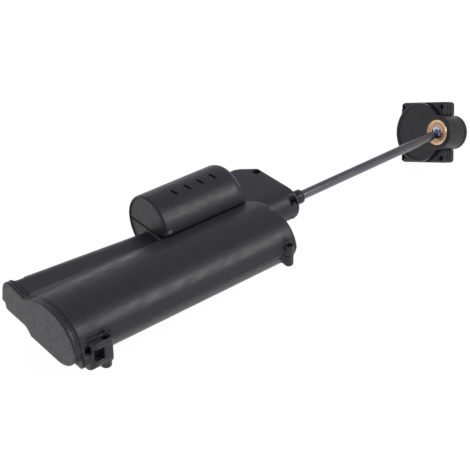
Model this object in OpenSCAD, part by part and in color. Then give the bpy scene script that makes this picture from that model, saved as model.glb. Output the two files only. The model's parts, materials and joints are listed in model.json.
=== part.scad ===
// Battery linear actuator with a ball-jointed end bracket.
// +X points along the push rod, +Y to the motor side, +Z up.
// The origin is midway between the two rear ear holes, on the plane under the ears.

/* [Box] */
// X of the rear cap's outer face
rear_x = -31; // [-40:1:-30]
// Thickness of the rear cap
cap_t = 7; // [5:0.5:10]
// X of the box's front face
box_front_x = 224; // [223:1:225]
// Wall thickness of the shells
wall = 2.5; // [2:0.1:3]
// Height of the parting line between the upper and lower shells
part_z = 18; // [17:0.5:18]
// Height of the parting line beside the bulge, where it steps up
side_part_z = 25.3; // [25.1:0.1:25.5]

/* [Ears] */
// Distance between the two ear holes
ear_pitch = 119; // [118:0.5:120]
// Radius of the ear holes
ear_hole_r = 3.2; // [2.5:0.1:3.5]
// Height of the top face of the ear beside the bulge
ear_h = 33; // [32:0.5:34]
// Height of the top face of the ear beside the flange
flange_ear_h = 29; // [28:0.5:30]

/* [Motor barrel] */
// Outer radius of the motor barrel
barrel_r = 33; // [32.5:0.1:33]
// X of the barrel's tail
barrel_x = 124; // [120:1:126]
// Number of vent slots
slot_n = 4; // [1:1:5]

/* [Front housing] */
// X of the front housing's flat front face
gear_front_x = 279.5; // [278:0.5:280]
// Radius of its round right side
nose_r = 18; // [17:0.1:18]

/* [Drive] */
// Radius of the push rod
rod_r = 5; // [4.5:0.1:5]
// Radius of the lead screw over its thread
screw_r = 4; // [3.5:0.1:4]
// Radial running clearance of shafts in their bushes
run_gap = 0.05; // [0.02:0.01:0.09]
// Gear module
gear_m = 0.75; // [0.75:0.01:0.76]
// Teeth on the pinion
pinion_n = 12; // [12:1:12]
// Teeth on the screw gear
gear_n = 28; // [28:1:28]

/* [Bracket] */
// X of the ball's centre with the rod out
ball_x = 511; // [500:1:515]
// Radius of the ball
ball_r = 6.5; // [6:0.1:6.8]
// Width of the base block
base_w = 66.7; // [66:0.1:68]
// Height of the base block
base_h = 70; // [69:0.5:72]
// Distance between neighbouring base holes
base_pitch = 58.5; // [58:0.5:59]
// Radius of the base holes
base_hole_r = 2.25; // [2:0.05:2.5]
// Distance from the ball to the centre of the base block
base_off = 34; // [33.8:0.1:35]
// Distance from the ball to the centre of the round plate
disc_off = 35.6; // [35.5:0.1:36]
// Roll, pitch and yaw of the bracket as it rests
bracket_tilt = [-23.2, 17.7, -4.3];

/* [Hidden] */

$fn = 96;
eps = 0.01;          // overlap that makes a clean cut
gap = 0.15;          // gap between neighbouring shells
black = "#38373a";
steel = "#a9adb3";
brass = "#d8a878";

// Places in the Y-Z plane
rod_yz = [11, 25];
screw_yz = [29, 24];
output_yz = [41, 33];
motor_yz = [51, 47.5];
barrel_yz = [45.5, 40.2];
rail_yz = [20, 12.5];

seam_x = rear_x + cap_t;
flange_z = 7;            // underside of the flange and the front housing
gear_top_z = 43.2;       // top of the front housing
cover_z = 38;            // split between the barrel's cover and its trough
bulge_front_x = box_front_x + 4;   // the bulge stands proud of the box's front
barrel_x1 = box_front_x + 2;   // tip of the barrel's domed end
flange_x1 = barrel_x1 - 20;    // where the flange runs into the front housing
ear_y = ear_pitch / 2;
ear_x0 = -17;
ear_x1 = 5.5;
ear_out = 66;            // distance of an ear's outer face from the middle
pocket_in = 55.5;        // inner wall of the pocket above an ear
notch_in = 51.5;         // inner wall of the notch at the rear of the flange's pocket
boss_xy = [215.4, -60.8];   // screw boss outside the box's front right corner
boss_r = 4.8;
boss_h = 36;
boss_z0 = 13;

// Teeth and travel
gear_x0 = 227;
gear_x1 = 235;
plate_x0 = 215;
plate_x1 = 220;
nut_x0 = 164;
nut_x1 = 188;
screw_x0 = -8;
screw_x1 = 240;
nose_x = 281;
collar_x1 = 295.5;
collar_r = 7.6;
seal_r = 6.6;            // bore of the collar's mouth, which holds the wiper seal

// Screws that close the shells from above: x, y, rim of the recess, tip of the screw,
// height of the parting line there, radius of the recess
top_screws = [[boss_xy[0], boss_xy[1], boss_h, 15, side_part_z, 3.4],
    [273, 55.5, gear_top_z, 12, part_z, 4.4], [273, -3, 36.5, 14, part_z, 4.4]];
// Screws that close them from below: x, y
low_screws = [[34, 50], [99, 47]];

// ---------- helpers ----------

function arc(c, r, a0, a1, n) =
    [for (i = [0:n]) let (a = a0 + (a1 - a0) * i / n) [c[0] + r * cos(a), c[1] + r * sin(a)]];

// A flat shape drawn in Y and Z, made solid from x0 to x1
module along_x(x0, x1) {
    translate([x0, 0, 0]) rotate([90, 0, 90]) linear_extrude(x1 - x0) children();
}

// A round bar along X
module bar_x(x0, x1, yz, r) {
    translate([x0, yz[0], yz[1]]) rotate([0, 90, 0]) cylinder(h = x1 - x0, r = r);
}

// A round bar along X that narrows from r0 to r1
module taper_x(x0, x1, yz, r0, r1) {
    translate([x0, yz[0], yz[1]]) rotate([0, 90, 0]) cylinder(h = x1 - x0, r1 = r0, r2 = r1);
}

module tube_x(x0, x1, yz, ro, ri) {
    difference() {
        bar_x(x0, x1, yz, ro);
        bar_x(x0 - 1, x1 + 1, yz, ri);
    }
}

module box(a, b) {
    translate(a) cube(b - a);
}

// A box with rounded upright edges
module slab(x0, x1, y0, y1, z0, z1, r) {
    translate([0, 0, z0]) linear_extrude(z1 - z0) union() {
        translate([x0 + r, y0]) square([x1 - x0 - 2 * r, y1 - y0]);
        translate([x0, y0 + r]) square([x1 - x0, y1 - y0 - 2 * r]);
        for (x = [x0 + r, x1 - r], y = [y0 + r, y1 - r]) translate([x, y]) circle(r, $fn = 48);
    }
}

// ---------- outer form; "in" is how far a surface lies inside it ----------

bulge_low = [-28, 32];
bulge_side = [-28, 21.5];
bulge_side_r = 32;
bulge_top = [-20, -10];
bulge_top_r = 64.5;
bulge_join_a = 104.25;   // where the side arc turns into the top arc
bulge_end_a = 50;        // where the top arc meets the flange

function bulge_outline(in) = let (
    r = bulge_side_r - in,
    mid_a = asin((bulge_low[1] - bulge_side[1]) / 2 / r)
) concat(
    arc(bulge_low, r, 270, 180 + mid_a, 14),
    arc(bulge_side, r, 180 - mid_a, bulge_join_a, 12),
    arc(bulge_top, bulge_top_r - in, bulge_join_a, bulge_end_a, 12),
    [[26.5 - in, flange_z + 1.4 + 0.8 * in], [17 - 0.4 * in, in]]
);

flange_edge = [45, 25];
flange_edge_r = 17;      // rounding of the flange's outer edge
cap_edge = [45, 26.5];   // the same on the rear cap, which stands proud of it
cap_edge_r = 18;
flange_low_y = 60.5;
flange_corner_r = 4;

function flange_top_outline(in) = concat(
    [[7, 10], [flange_edge[0] + 5, 10]],
    arc(flange_edge, flange_edge_r - in, -30, 94, 14),
    [[21.5, 41 - in], [7, 38 - in]]
);

function cap_top_outline(in) = concat(
    [[7, 14 + in], [64.6 - in, 14 + in], [65.9 - in, 16.5]],
    arc(cap_edge, cap_edge_r - in, 14, 94, 10),
    [[21.5, 41 - in], [7, 38 - in]]
);

function flange_low_outline(in) = concat(
    [[7, flange_z + in]],
    arc([flange_low_y - flange_corner_r, flange_z + flange_corner_r],
        flange_corner_r - in, -90, 0, 5),
    [[flange_low_y - in, part_z + 6], [7, part_z + 6]]
);

module bulge(x0, x1, in) {
    along_x(x0, x1) polygon(bulge_outline(in));
}

// The flange narrows and sinks a little towards the front
module flange(x0, x1, in) {
    pivot = [seam_x, flange_edge[0], flange_edge[1]];
    intersection() {
        translate(pivot) rotate([0, 2.1, -2.3]) translate(-pivot)
            along_x(x0 - 10, x1 + 10) polygon(flange_top_outline(in));
        box([x0, -70, part_z], [x1, 90, 60]);
    }
    intersection() {
        translate(pivot) rotate([0, 0, -2.3]) translate(-pivot)
            along_x(x0 - 10, x1 + 10) polygon(flange_low_outline(in));
        box([x0, -70, 0], [x1, 90, part_z + eps]);
    }
}

module barrel(x0, in) {
    r = barrel_r - in;
    bar_x(x0, barrel_x1 - 13, barrel_yz, r);
    taper_x(barrel_x1 - 13 - eps, barrel_x1 - 7, barrel_yz, r, r - 2);
    taper_x(barrel_x1 - 7 - eps, barrel_x1 - 3, barrel_yz, r - 2, r - 5.5);
    taper_x(barrel_x1 - 3 - eps, barrel_x1 - min(in, 2.9), barrel_yz, r - 5.5, r - 11);
}

// Slab of the front housing with its full-round right side
module front_box(x0, in) {
    bar_x(x0, gear_front_x - in, rod_yz, nose_r - in);
    translate([0, 0, flange_z + 0.1 + in])
        linear_extrude(gear_top_z - flange_z - 0.2 - 2 * in)
            polygon([[x0, rod_yz[0]], [gear_front_x - in, rod_yz[0]],
                [gear_front_x - in, 60 - in / 2], [264 - in / 2, 72 - in],
                [258, 74.5 - in], [x0, 74.5 - in]]);
}

ear_root = 45;           // where an ear is buried in the box
ear_floor_r = 14;        // rounding under the ear's outer side
ear_cut = 5;             // its cut rear corner
ear_front_cut = 2;
ear_shelf_z = [8, 21];   // shelf between the ear and the rear cap

// Solid of one ear, drawn on the -Y side
module ear_solid(h) {
    intersection() {
        translate([0, 0, -1]) linear_extrude(h + 1) polygon([
            [ear_x0, -ear_root], [ear_x0, -ear_out + ear_cut], [ear_x0 + ear_cut, -ear_out],
            [ear_x1 - ear_front_cut, -ear_out], [ear_x1, -ear_out + ear_front_cut],
            [ear_x1, -ear_root]]);
        along_x(ear_x0 - 1, ear_x1 + 1) polygon(concat(
            [[-ear_root + 1, h + 1], [-ear_out - 1, h + 1], [-ear_out - 1, ear_floor_r]],
            arc([-ear_out + ear_floor_r, ear_floor_r], ear_floor_r, 183, 270, 8),
            [[-ear_root + 1, 0]]));
    }
    box([seam_x + gap, -ear_out + 4, ear_shelf_z[0]], [ear_x0 + 1, -ear_root, ear_shelf_z[1]]);
    // flat seat under the hole
    translate([0, -ear_y, 0]) cylinder(h = ear_floor_r, r = ear_hole_r + 2);
}

module ears() {
    ear_solid(ear_h);
    mirror([0, 1, 0]) ear_solid(flange_ear_h);
}

// The space above an ear that a bolt head and its tool need
module ear_pocket(h, grow) {
    slab(ear_x0 - 1 - grow, ear_x1 + 2.5 + grow, -80, -pocket_in + grow, h - grow, 70, 3);
}

module ear_pockets(grow) {
    ear_pocket(ear_h, grow);
    mirror([0, 1, 0]) ear_pocket(flange_ear_h, grow);
    slab(ear_x0 - 5 - grow, ear_x0 + 5.5 + grow, notch_in - grow, 80, flange_ear_h - grow, 70, 3);
}

// The opening low in an ear's outer side, and the one in its rear above the shelf
module ear_window(h) {
    box([ear_x0 + 3, -80, 14], [ear_x0 + 12.7, -ear_out + 9, h - 6.5]);
    box([ear_x0 - 1, -ear_out + 4.5, ear_shelf_z[1] + 0.5],
        [ear_x0 + 5, -ear_out + 13.5, h - 3.5]);
}

module ear_windows() {
    ear_window(ear_h);
    mirror([0, 1, 0]) ear_window(flange_ear_h);
}

module boss_pocket(grow) {
    translate([boss_xy[0], boss_xy[1], boss_h - grow])
        cylinder(h = 40, r = boss_r + 1.4 + grow);
}

// Round boss with a web that ties it to the bulge
module boss() {
    translate([boss_xy[0], boss_xy[1], boss_z0]) cylinder(h = boss_h - boss_z0, r = boss_r);
    box([boss_xy[0] - boss_r + 0.6, boss_xy[1], boss_z0],
        [boss_xy[0] + boss_r - 0.6, -50, boss_h - 3]);
}

module ear_holes() {
    ear_sink_r = 4.4;    // shallow sink round the top of an ear's hole
    for (ear = [[-ear_y, ear_h], [ear_y, flange_ear_h]]) translate([0, ear[0], 0]) {
        translate([0, 0, -1]) cylinder(h = 60, r = ear_hole_r);
        translate([0, 0, ear[1] - 1]) cylinder(h = 2, r = ear_sink_r);
    }
}

module housing_outer() {
    difference() {
        union() {
            bulge(seam_x + gap, bulge_front_x, 0);
            flange(seam_x + gap, flange_x1, 0);
            difference() {
                barrel(barrel_x, 0);
                box([barrel_x - 5, -20, cover_z], [barrel_x1 + 5, 100, 90]);
            }
            front_box(barrel_x1 - 22, 0);
        }
        ear_pockets(0);
        boss_pocket(0);
        // room for the barrel's cover, beside the bulge
        difference() {
            intersection() {
                barrel(barrel_x - 1, -gap);
                box([barrel_x - 1, 0, cover_z], [barrel_x1 + 5, 100, 90]);
            }
            bulge(barrel_x - 5, bulge_front_x, 0);
        }
    }
    ears();
    boss();
    bar_x(gear_front_x - 1, nose_x, rod_yz, 9.5);
}

// Everything that is hollow inside the closed shells
module housing_cavity() {
    difference() {
        union() {
            bulge(seam_x - 1, bulge_front_x - wall, wall);
            flange(seam_x - 1, flange_x1, wall);
            intersection() {
                barrel(barrel_x + wall, wall);
                box([barrel_x - 5, -20, 0], [barrel_x1 + 5, 100, cover_z + 1]);
            }
            front_box(box_front_x + wall, wall);
            box([plate_x0, -2, 10.5], [box_front_x + 5, 52, 37]);
            // the wall between bulge and barrel stops at the parting plane
            box([flange_x1 - 1, 20, part_z], [plate_x0 + 1, 27, 24]);
        }
        ear_pockets(wall);
        for (side = [0, 1]) mirror([0, side, 0])
            slab(ear_x0 - 1, ear_x1 + 1, -80, -ear_out + 15, 0, flange_ear_h, 3);
        boss_pocket(wall);
        // posts that the closing screws bite into, and the nose block
        for (s = top_screws) translate([s[0], s[1], 0]) cylinder(h = 60, r = s[5] + 1.7);
        for (s = low_screws) translate([s[0], s[1], 0]) cylinder(h = 60, r = 4);
        bar_x(nose_x - 19, nose_x, rod_yz, 11);
    }
}

function recess_depth(s) = s[5] + 1.1;

module screw_holes() {
    for (s = top_screws) translate([s[0], s[1], 0]) {
        translate([0, 0, s[3] - 1]) cylinder(h = 60, r = 1.5);
        translate([0, 0, s[4]]) cylinder(h = 60, r = 1.8);
        translate([0, 0, s[2] - recess_depth(s)]) cylinder(h = 30, r = s[5]);
    }
    for (s = low_screws) translate([s[0], s[1], 0]) {
        cylinder(h = 32, r = 1.5);
        cylinder(h = part_z, r = 1.8);
        cylinder(h = flange_z + 3.2, r = 3.4);
    }
}

module shell_solid() {
    difference() {
        housing_outer();
        housing_cavity();
        ear_holes();
        ear_windows();
        screw_holes();
        bar_x(nose_x - 30, nose_x + 5, rod_yz, 6.5);
    }
}

// ---------- housing ----------

// The parting line in Y and Z, raised by dz
function part_line(dz) = [[-90, side_part_z + dz], [-30, side_part_z + dz], [-22, part_z + dz],
    [100, part_z + dz]];

module upper_housing() {
    color(black) intersection() {
        shell_solid();
        along_x(-50, 300) polygon(concat(part_line(gap / 2), [[100, 80], [-90, 80]]));
    }
}

module lower_housing() {
    color(black) intersection() {
        shell_solid();
        along_x(-50, 300) polygon(concat(part_line(-gap / 2), [[100, -5], [-90, -5]]));
    }
}

module cap_outline(in) {
    polygon(bulge_outline(in));
    polygon(cap_top_outline(in));
    polygon(flange_low_outline(in));
}

module spigot_outline(in) {
    polygon(bulge_outline(in));
    polygon(flange_top_outline(in + 0.4));
}

spigot_in = 4.6;         // how far the spigot's inner face lies inside the box
spigot_y = 48;           // the spigot stops short of the ears

module rear_cap() {
    color(black) difference() {
        union() {
            along_x(rear_x, rear_x + 1) cap_outline(1);
            along_x(rear_x + 1, seam_x) cap_outline(0);
            // lug that meets the shelf behind the ear
            box([rear_x + 3, -ear_out + 4, ear_shelf_z[0]], [seam_x, -ear_root, ear_shelf_z[1]]);
            // spigot that centres the cap in the shells
            intersection() {
                along_x(seam_x - 0.5, seam_x + 3) spigot_outline(wall + 0.3);
                box([rear_x, -spigot_y, 0], [seam_x + 5, spigot_y, 60]);
            }
        }
        along_x(rear_x + wall, seam_x + 10) spigot_outline(spigot_in);
    }
}

module motor_cover() {
    tilt = 10;           // turn of the slot row towards the rod
    color(black) difference() {
        intersection() {
            difference() {
                barrel(barrel_x + eps, 0);
                barrel(barrel_x - 1, wall);
            }
            box([barrel_x, -20, cover_z + gap], [barrel_x1 + 5, 100, 90]);
        }
        bulge(barrel_x - 2, bulge_front_x + 2, -0.5);
        front_box(barrel_x1 - 23, -0.4);
        for (i = [0:slot_n - 1]) translate([153.5 + 15.9 * i, barrel_yz[0], barrel_yz[1]])
            rotate([tilt, 0, 0]) box([-1.2, -4.6, barrel_r - 5], [1.2, 4.6, barrel_r + 5]);
    }
}

module motor_tail_cap() {
    color(black) intersection() {
        bar_x(barrel_x + 1.6, barrel_x + 4.1, barrel_yz, barrel_r - wall - gap);
        difference() {
            box([barrel_x, 0, cover_z + gap], [barrel_x + 10, 100, 90]);
            bulge(barrel_x - 2, barrel_x + 12, -0.5);
        }
    }
}

module housing_screws() {
    color("dimgray") {
        for (s = top_screws) translate([s[0], s[1], 0]) difference() {
            head_z = s[2] - recess_depth(s) + eps;
            union() {
                translate([0, 0, head_z]) cylinder(h = 2.6, r = 3);
                translate([0, 0, s[3]]) cylinder(h = head_z - s[3] + 1, r = 1.45);
            }
            translate([0, 0, head_z + 1.2]) cylinder(h = 5, r = 1.5, $fn = 6);
        }
        for (s = low_screws) translate([s[0], s[1], 0]) {
            translate([0, 0, flange_z + 0.5]) cylinder(h = 2.6, r = 3);
            translate([0, 0, flange_z + 2]) cylinder(h = 22, r = 1.45);
        }
    }
}

module front_bush() {
    color(brass) tube_x(nose_x - 17, nose_x - 0.5, rod_yz, 6.45, rod_r + run_gap);
}

module nose_collar() {
    color(black) difference() {
        bar_x(nose_x + 0.05, collar_x1, rod_yz, collar_r);
        bar_x(nose_x - 1, collar_x1 + 1, rod_yz, rod_r + 0.5);
        bar_x(collar_x1 - 4.4, collar_x1 + 1, rod_yz, seal_r);
    }
}

module wiper_seal() {
    color("#202020") tube_x(collar_x1 - 4.3, collar_x1 - 0.6, rod_yz, seal_r - 0.05,
        rod_r + 0.08);
}

// ---------- drive: fixed pieces ----------

plate_holes = [[5, 17], [5, 33], [46, 15], [54, 30]];

module gear_plate() {
    color("silver") difference() {
        along_x(plate_x0, plate_x1) difference() {
            polygon([[1, 11], [14, 8.8], [23, 9.8], [30, 11.5], [51, 11.5], [58, 19], [58, 38],
                [48, 42], [32, 39], [1, 39]]);
            for (p = plate_holes) translate(p) circle(1.6);
        }
        bar_x(plate_x0 - 1, plate_x1 + 1, screw_yz, 8);
        bar_x(plate_x0 - 1, plate_x1 + 1, rod_yz, rod_r + 0.5);
        bar_x(plate_x0 - 1, plate_x1 + 1, output_yz, 3.5);
        bar_x(plate_x0 - 1, plate_x1 + 1, rail_yz, 2.5);
    }
}

module plate_screws() {
    color("dimgray") for (p = plate_holes) {
        bar_x(plate_x1 + 0.05, plate_x1 + 2, p, 2.8);
        bar_x(plate_x0 - 4, plate_x1 + 0.5, p, 1.5);
    }
}

module bearing_outer_race() {
    color(steel) difference() {
        bar_x(plate_x0, plate_x1, screw_yz, 7.98);
        bar_x(plate_x0 - 1, plate_x1 + 1, screw_yz, 6.9);
    }
}

module bearing_balls() {
    color(steel) for (i = [0:7]) translate([(plate_x0 + plate_x1) / 2, screw_yz[0], screw_yz[1]])
        rotate([45 * i, 0, 0]) translate([0, 6.15, 0]) sphere(0.7, $fn = 32);
}

module rear_block() {
    color("#45484c") difference() {
        along_x(-12, -2) polygon([[16, 7.5], [23, 9.8], [36, 11.5], [40, 15], [40, 34], [18, 34],
            [14, 10]]);
        bar_x(-15, 0, screw_yz, 6);
        bar_x(-8, 0, rail_yz, 2.5);
    }
}

module rear_bush() {
    color(brass) tube_x(-12, -2, screw_yz, 5.97, screw_r - 1 + run_gap);
}

module guide_rail() {
    color(steel) bar_x(-8 + eps, plate_x1, rail_yz, 2.48);
}

switch_xs = [6, 174];

module limit_switches() {
    color("#222222") for (x = switch_xs) box([x, 12, 33.4], [x + 12, 18, 37.2]);
}

module switch_plungers() {
    color("#b03030") for (x = switch_xs) translate([x + 6, 15, 32.2])
        cylinder(h = 1.15, r = 1.2);
}

// ---------- battery and board ----------

cell_r = 9.1;
cell_len = 65;
cell_yz = [[-17, 15.5], [-36, 16.5], [-17, 35], [-36, 35]];
cell_x0 = 10;

module battery_cells() {
    color("#3f7fb5") for (i = [0, 1], p = cell_yz) {
        x = cell_x0 + i * (cell_len + 2);
        bar_x(x, x + cell_len, p, cell_r);
        bar_x(x + cell_len - eps, x + cell_len + 0.8, p, 3);
    }
}

module battery_end_plates() {
    end_x = cell_x0 + 2 * cell_len + 3;
    color("#2b2b2b") for (x = [cell_x0 - 4, end_x])
        slab(x, x + 3, -44, -9, 8, 43, 1);
}

module battery_straps() {
    x1 = cell_x0 + 2 * cell_len + 2.85;
    color("#c8c8c0") for (y = [-17, -36]) {
        box([x1, y - 3, 13], [x1 + 0.14, y + 3, 38]);
        box([cell_x0 - 0.9, y - 3, 13], [cell_x0 - 0.05, y + 3, 38]);
    }
}

board_x0 = 152;
board_x1 = 212;
board_z = 12;

board_hole_ys = [-37, -8];

module control_board() {
    color("#1f6b3a") difference() {
        box([board_x0, -44, board_z], [board_x1, -4, board_z + 1.6]);
        for (x = [board_x0 + 4, board_x1 - 4], y = board_hole_ys)
            translate([x, y, 0]) cylinder(h = 40, r = 1.6);
    }
}

module board_capacitors() {
    color("#26303c") for (x = [165, 177]) translate([x, -31, board_z + 1.65])
        cylinder(h = 16, r = 5);
}

module board_relays() {
    color("#c9782c") for (x = [183, 196]) box([x, -35, board_z + 1.65],
        [x + 11, -20, board_z + 16]);
}

module board_chip() {
    color("#161616") box([160, -20, board_z + 1.65], [170, -10, board_z + 3.4]);
}

module board_posts() {
    color("#2b2b2b") for (x = [board_x0 + 4, board_x1 - 4], y = board_hole_ys)
        translate([x, y, 0]) {
            foot = y < -20 ? 5.15 : 2.6;
            translate([0, 0, foot]) cylinder(h = board_z - foot - 0.05, r = 3);
            translate([0, 0, board_z - 1]) cylinder(h = 3.6, r = 1.5);
        }
}

// ---------- motor ----------

motor_x0 = 138;
motor_x1 = 190;
motor_r = 18;

module motor_can() {
    color(steel) {
        bar_x(motor_x0 + 4, motor_x1, motor_yz, motor_r);
        taper_x(motor_x0 + 2, motor_x0 + 4 + eps, motor_yz, motor_r - 2, motor_r);
    }
}

module motor_end_bell() {
    color("#1c1c1c") bar_x(motor_x0 - 2, motor_x0 + 1.95, motor_yz, motor_r - 3);
}

module motor_terminals() {
    color(brass) for (dy = [-8, 8]) box([motor_x0 - 8, motor_yz[0] + dy - 2, motor_yz[1] - 0.4],
        [motor_x0 - 2.05, motor_yz[0] + dy + 2, motor_yz[1] + 0.4]);
}

module gearhead() {
    color("#7d8085") difference() {
        union() {
            bar_x(motor_x1 + 0.05, plate_x0 - 4.5, motor_yz, motor_r);
            bar_x(motor_x1 + 0.05, plate_x0 - 0.05, output_yz, 8);
        }
        bar_x(motor_x1 + 8, plate_x0 + 1, output_yz, 2.5 + run_gap);
    }
}

saddle_x0 = 154;

module motor_saddle() {
    color("#202020") intersection() {
        difference() {
            bar_x(saddle_x0, saddle_x0 + 12, barrel_yz, barrel_r - wall - 0.3);
            bar_x(saddle_x0 - 1, saddle_x0 + 13, motor_yz, motor_r + 0.05);
        }
        box([saddle_x0, 42, 0], [saddle_x0 + 12, 100, cover_z - 0.5]);
    }
}

// ---------- gears ----------

pressure_a = 25;
backlash = 0.14;

function involute(rb, r) = let (t = sqrt(max(0, pow(r / rb, 2) - 1)))
    t * 180 / PI - atan(t);

function tooth_side(n, s) = let (
    rp = gear_m * n / 2,
    rb = rp * cos(pressure_a),
    rr = rp - 1.3 * gear_m,
    ra = rp + 0.92 * gear_m,
    half = 90 / n - backlash / rp * 90 / PI + involute(rb, rp)
) [for (i = [0:5]) let (r = rr + (ra - rr) * (s > 0 ? 5 - i : i) / 5,
    a = s * (half - involute(rb, max(r, rb)))) [r * cos(a), r * sin(a)]];

function turned(p, a) = [p[0] * cos(a) - p[1] * sin(a), p[0] * sin(a) + p[1] * cos(a)];

function gear_outline(n, phase) = [for (k = [0:n - 1], s = [-1, 1], p = tooth_side(n, s))
    turned(p, phase + 360 * k / n)];

mesh_a = atan2(output_yz[1] - screw_yz[1], output_yz[0] - screw_yz[0]);

module leadscrew() {
    color(steel) {
        bar_x(screw_x0 + 6.5, plate_x0 - 0.8, screw_yz, screw_r);
        bar_x(screw_x0 - 3, screw_x0 + 7, screw_yz, screw_r - 1);
        bar_x(plate_x0 - 1, screw_x1, screw_yz, screw_r - 0.5);
    }
}

module screw_gear() {
    color("#e9e4d4") difference() {
        along_x(gear_x0, gear_x1) translate(screw_yz) polygon(gear_outline(gear_n, mesh_a));
        bar_x(gear_x0 - 1, gear_x1 + 1, screw_yz, screw_r - 0.48);
    }
}

module bearing_inner_race() {
    color(steel) tube_x(plate_x0, plate_x1 + 0.5, screw_yz, 5.4, screw_r - 0.48);
}

module screw_locknut() {
    color(steel) {
        difference() {
            bar_x(gear_x1 + 0.05, gear_x1 + 3.5, screw_yz, 6);
            bar_x(gear_x1 - 1, gear_x1 + 5, screw_yz, screw_r - 0.48);
        }
        tube_x(plate_x1 + 0.55, gear_x0 - 0.05, screw_yz, 5, screw_r - 0.48);
    }
}

module output_shaft() {
    color(steel) bar_x(motor_x1 + 8.3, gear_x1 + 1, output_yz, 2.5);
}

module pinion() {
    color("#c9a45c") difference() {
        along_x(gear_x0 - 0.5, gear_x1 + 0.5) translate(output_yz)
            polygon(gear_outline(pinion_n, mesh_a + 180 + 180 / pinion_n));
        bar_x(gear_x0 - 2, gear_x1 + 2, output_yz, 2.52);
    }
}

// ---------- push rod ----------

module push_rod() {
    color("#54565b") difference() {
        union() {
            bar_x(nut_x0 - 8, ball_x - 14, rod_yz, rod_r);
            taper_x(ball_x - 14 - eps, ball_x - 9.5, rod_yz, rod_r, 3.1);
        }
        bar_x(ball_x - 24, ball_x, rod_yz, 2.1);
    }
}

module carriage() {
    color("#e6e6e0") difference() {
        along_x(nut_x0, nut_x1) union() {
            polygon([[4, 17], [15, 17], [15, 12], [20, 7], [25, 12], [33, 13.5], [38, 18],
                [38, 29], [34, 31.8], [4, 31.8]]);
        }
        bar_x(nut_x0 - 1, nut_x1 + 1, rod_yz, rod_r + 0.02);
        bar_x(nut_x0 - 1, nut_x1 + 1, screw_yz, 7);
        bar_x(nut_x0 - 1, nut_x1 + 1, rail_yz, 2.48 + run_gap);
    }
}

module drive_nut() {
    color(brass) difference() {
        union() {
            bar_x(nut_x0 - 3, nut_x1, screw_yz, 6.98);
            bar_x(nut_x0 - 3, nut_x0 - 0.02, screw_yz, 8.5);
        }
        bar_x(nut_x0 - 5, nut_x1 + 5, screw_yz, screw_r + run_gap);
    }
}

module rod_locknut() {
    color("dimgray") difference() {
        translate([nut_x0 - 5, rod_yz[0], rod_yz[1]]) rotate([0, 90, 0])
            cylinder(h = 4.95, r = 7, $fn = 6);
        bar_x(nut_x0 - 8, nut_x0 + 1, rod_yz, rod_r + 0.02);
    }
}

ball_c = [ball_x, rod_yz[0], rod_yz[1]];

module ball_stud() {
    color("#8f98a6") {
        translate(ball_c) sphere(ball_r);
        bar_x(ball_x - 9.45, ball_x - ball_r + 1.5, rod_yz, 2.8);
        bar_x(ball_x - 22, ball_x - 9, rod_yz, 2.05);
    }
}

// ---------- bracket, drawn about the ball with its face towards -X ----------

liner_r = 8.9;           // outside of the inner race
seat_r = 11.5;           // outside of the liner
socket_r = 19.4;
disc_r = 34;
neck_h = 35;
barrel_rear = 26;
zero = [0, 0];

module at_ball() {
    translate(ball_c) children();
}

module tilted() {
    at_ball() rotate(bracket_tilt) children();
}

// Zone of a hollow sphere between two flat faces
module zone(ro, ri, x0, x1) {
    intersection() {
        difference() {
            sphere(ro);
            sphere(ri);
        }
        box([x0, -30, -30], [x1, 30, 30]);
    }
}

module inner_race() {
    color("#b9bcc4") at_ball() zone(liner_r, ball_r + 0.08, -4, 5);
}

module ball_liner() {
    color("#c07a50") tilted() zone(seat_r, liner_r + 0.1, -5.5, 7);
}

module brass_ring() {
    color(brass) tilted() difference() {
        union() {
            bar_x(-5.6, -4.05, zero, 14.5);
            bar_x(-4.06, 1.5, zero, 12.9);
        }
        sphere(seat_r + 0.1);
        bar_x(-6, -4.6, zero, 10.6);
    }
}

module rear_seat() {
    color("#d9d4c4") tilted() difference() {
        bar_x(1.6, 15, zero, 12.9);
        sphere(seat_r + 0.1);
        bar_x(5, 16, zero, 7);
    }
}

module preload_washer() {
    color(steel) tilted() tube_x(15.05, 16.5, zero, 12.5, 8);
}

module socket_housing() {
    color(black) tilted() difference() {
        union() {
            bar_x(-4, barrel_rear - 5.05, zero, socket_r);
            bar_x(2, 10, [disc_off, 0], disc_r);
            along_x(2, 10) translate([0, -neck_h / 2]) square([disc_off, neck_h]);
        }
        bar_x(-5, barrel_rear, zero, 13);
        for (p = bracket_screw_yz) {
            bar_x(5, 12, p, 1.7);
        }
    }
}

bracket_screw_yz = [for (a = [0, 120, 240]) [disc_off + 20 * cos(a), 20 * sin(a)]];

module barrel_cap() {
    color(black) tilted() {
        bar_x(barrel_rear - 5, barrel_rear - 0.05, zero, socket_r);
        bar_x(16.55, barrel_rear - 4, zero, 12.9);
    }
}

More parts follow.
